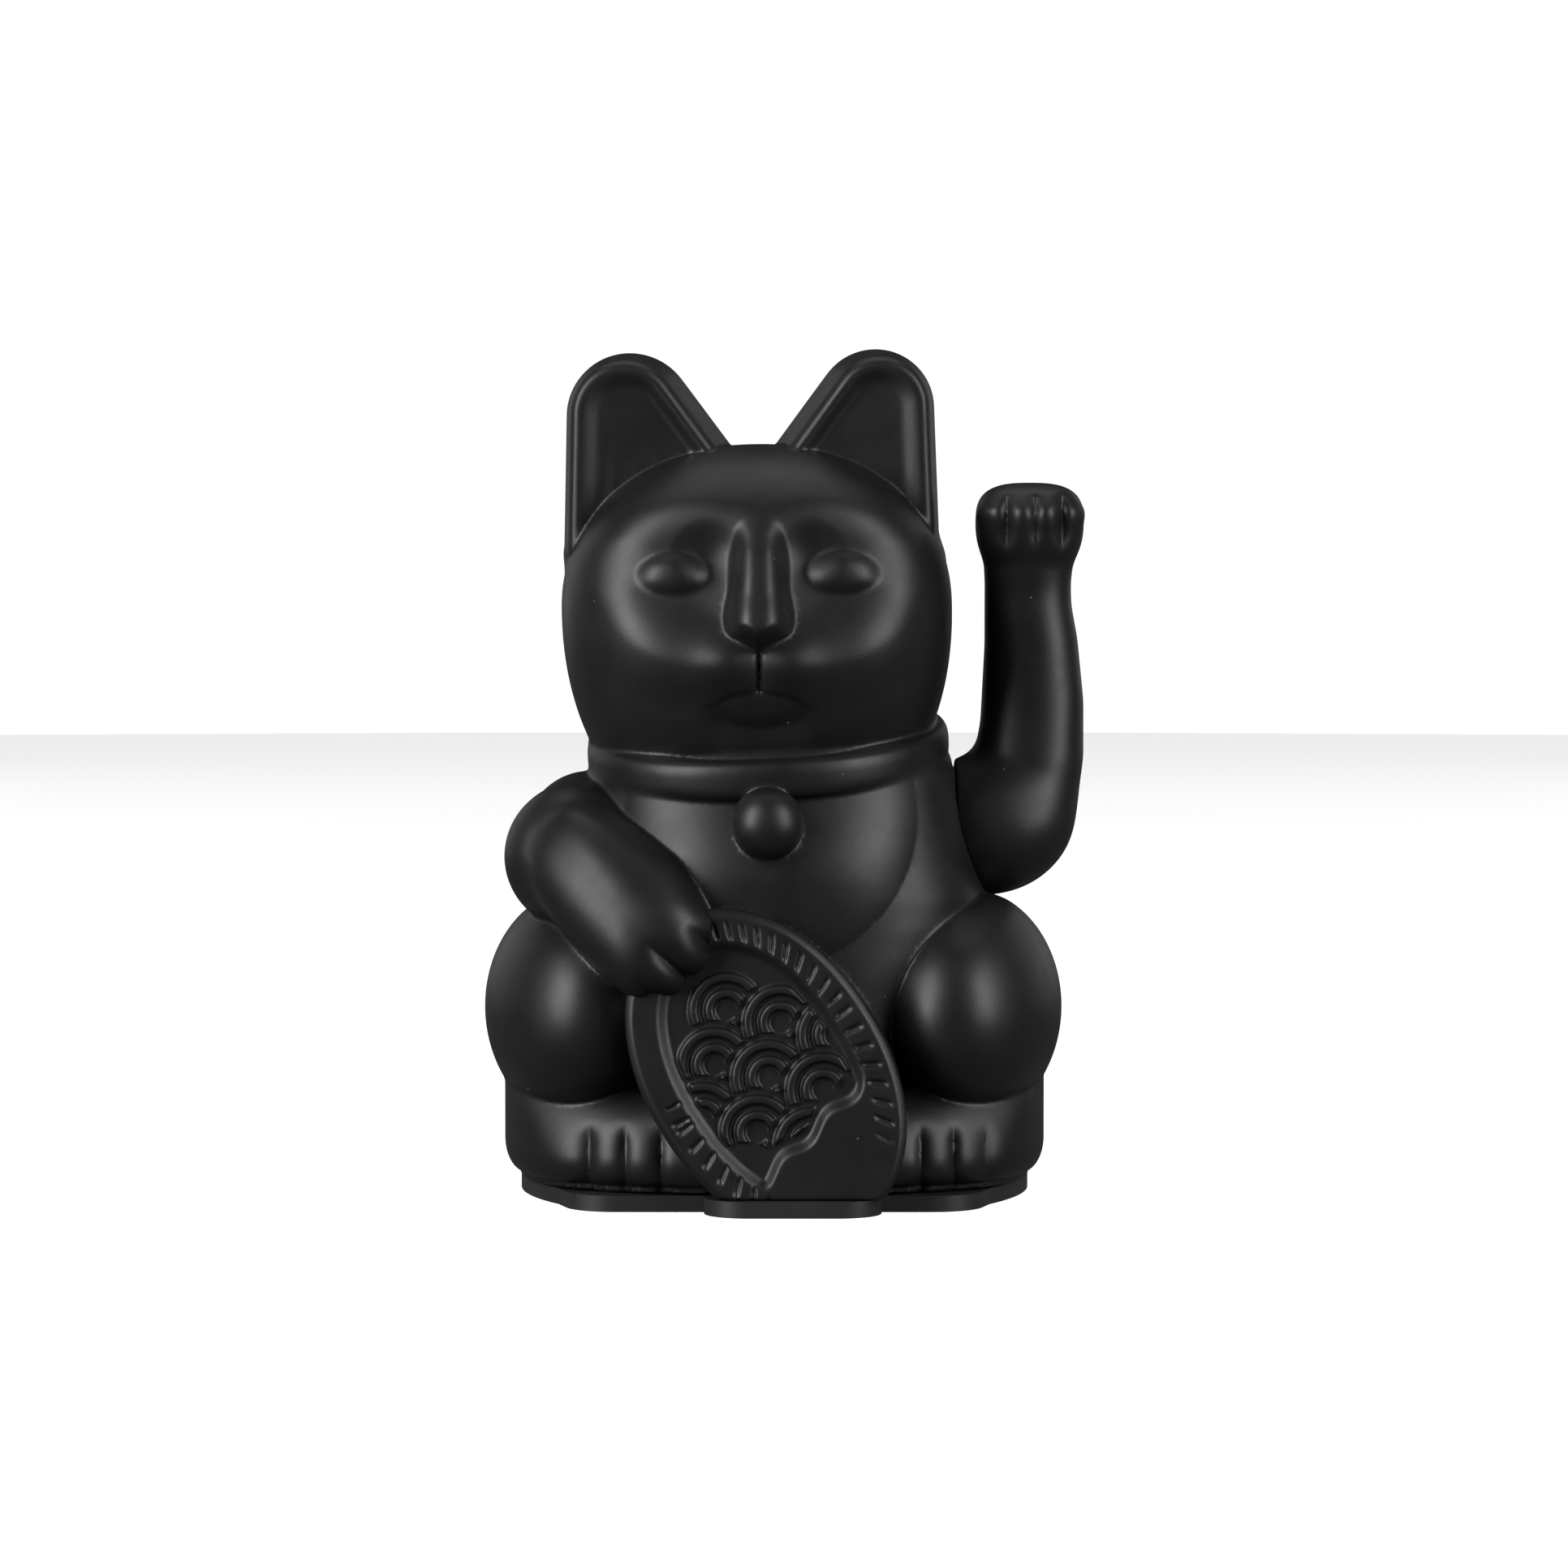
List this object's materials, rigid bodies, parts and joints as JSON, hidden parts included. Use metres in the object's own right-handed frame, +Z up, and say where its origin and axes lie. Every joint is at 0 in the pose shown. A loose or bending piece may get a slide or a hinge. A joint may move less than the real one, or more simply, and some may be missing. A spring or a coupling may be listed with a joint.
{
  "type": "beckoning cat figurine",
  "caption": "Seated beckoning cat figurine with a collar bell and a tall oval coin; a battery pendulum swings its raised paw.",
  "frame": {"origin": "on the base plate's underside, which is the surface the cat stands on, below the middle of its trunk", "axes": "+Z up, -Y the way the cat faces, +X towards the cat's left, where the raised paw swings"},
  "size_m": [0.1055, 0.0837, 0.1491],
  "materials": {
    "body_plastic": "satin",
    "base_plastic": "matte",
    "drive_plastic": "matte",
    "bobbin_plastic": "matte",
    "cell_wrap": "gloss",
    "spring_steel": "satin",
    "contact_metal": "satin",
    "axle_steel": "polished",
    "magnet": "satin",
    "weight_steel": "satin",
    "bush_brass": "satin",
    "copper_wire": "satin",
    "board_laminate": "satin",
    "component_black": "satin",
    "capacitor_can": "gloss",
    "resistor_body": "satin",
    "lead_red": "satin",
    "lead_black": "satin",
    "screw_steel": "satin"
  },
  "bodies": {
    "cat_body": {"front_shell": "body_plastic", "rear_shell": "body_plastic", "base_plate": "base_plastic", "battery_cell": "cell_wrap", "battery_spring": "spring_steel", "positive_contact": "contact_metal", "negative_contact": "contact_metal", "drive_frame": "drive_plastic", "axle_bushes": "bush_brass", "coil_bobbin": "bobbin_plastic", "coil_winding": "copper_wire", "circuit_board": "board_laminate", "driver_transistor": "component_black", "drive_capacitor": "capacitor_can", "board_resistors": "resistor_body", "lead_positive": "lead_red", "lead_negative": "lead_black", "base_screws": "screw_steel", "drive_screws": "screw_steel"},
    "waving_arm": {"arm_front_half": "body_plastic", "arm_rear_half": "body_plastic", "arm_hub": "drive_plastic", "axle": "axle_steel", "retaining_clip": "axle_steel", "swing_lever": "drive_plastic", "pendulum_magnet": "magnet", "counterweight": "weight_steel"},
    "battery_door": {"battery_door": "base_plastic"}
  },
  "joints": [
    {"name": "arm_swing", "type": "hinge", "parent": "cat_body", "child": "waving_arm", "pos_m": [0.032, 0, 0.065], "axis": [1, 0, 0], "range_deg": [-22, 22]},
    {"name": "battery_door_hinge", "type": "hinge", "parent": "cat_body", "child": "battery_door", "pos_m": [-0.0282, -0.0185, 0.00025], "axis": [0, 1, 0], "range_deg": [0, 50]}
  ]
}
